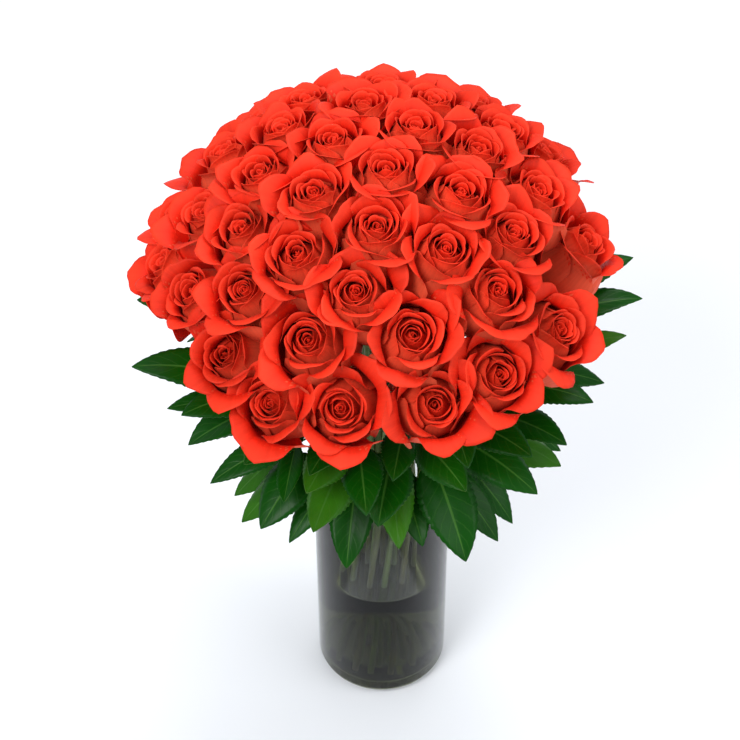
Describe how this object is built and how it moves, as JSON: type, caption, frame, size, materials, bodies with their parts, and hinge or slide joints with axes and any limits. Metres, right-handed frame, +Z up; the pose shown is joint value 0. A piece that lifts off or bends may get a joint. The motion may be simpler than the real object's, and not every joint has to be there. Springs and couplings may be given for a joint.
{
  "type": "roses in a vase",
  "caption": "Domed hand-tied bunch of coral red cut roses with dark green leaves, standing in a tall clear glass cylinder vase part filled with murky water.",
  "frame": {"origin": "centre of the vase's flat foot, on the surface it stands on", "axes": "+Z up along the vase's axis, -Y towards the front of the bunch, +X to its right"},
  "size_m": [0.4382, 0.3967, 0.6828],
  "materials": {
    "rose_petals": "soft satin petals, coral red inside and paler salmon orange outside",
    "rose_leaves": "glossy dark green leaves with paler undersides and veins",
    "rose_stems": "satin green stems, browner under water",
    "vase_glass": "clear polished glass",
    "vase_water": "murky dark green-grey water"
  },
  "bodies": {
    "root": {"rose_back_1": "rose_petals", "rose_back_10": "rose_petals", "rose_back_2": "rose_petals", "rose_back_3": "rose_petals", "rose_back_4": "rose_petals", "rose_back_5": "rose_petals", "rose_back_6": "rose_petals", "rose_back_7": "rose_petals", "rose_back_8": "rose_petals", "rose_back_9": "rose_petals", "rose_crown_1": "rose_petals", "rose_crown_2": "rose_petals", "rose_crown_3": "rose_petals", "rose_crown_4": "rose_petals", "rose_front_1": "rose_petals", "rose_front_10": "rose_petals", "rose_front_11": "rose_petals", "rose_front_12": "rose_petals", "rose_front_2": "rose_petals", "rose_front_3": "rose_petals", "rose_front_4": "rose_petals", "rose_front_5": "rose_petals", "rose_front_6": "rose_petals", "rose_front_7": "rose_petals", "rose_front_8": "rose_petals", "rose_front_9": "rose_petals", "rose_left_1": "rose_petals", "rose_left_2": "rose_petals", "rose_left_3": "rose_petals", "rose_left_4": "rose_petals", "rose_left_5": "rose_petals", "rose_right_1": "rose_petals", "rose_right_2": "rose_petals", "rose_right_3": "rose_petals", "rose_right_4": "rose_petals", "rose_right_5": "rose_petals", "rose_right_6": "rose_petals", "rose_right_7": "rose_petals", "rose_upper_1": "rose_petals", "rose_upper_10": "rose_petals", "rose_upper_2": "rose_petals", "rose_upper_3": "rose_petals", "rose_upper_4": "rose_petals", "rose_upper_5": "rose_petals", "rose_upper_6": "rose_petals", "rose_upper_7": "rose_petals", "rose_upper_8": "rose_petals", "rose_upper_9": "rose_petals", "vase": "vase_glass", "water": "vase_water"}
  },
  "joints": []
}
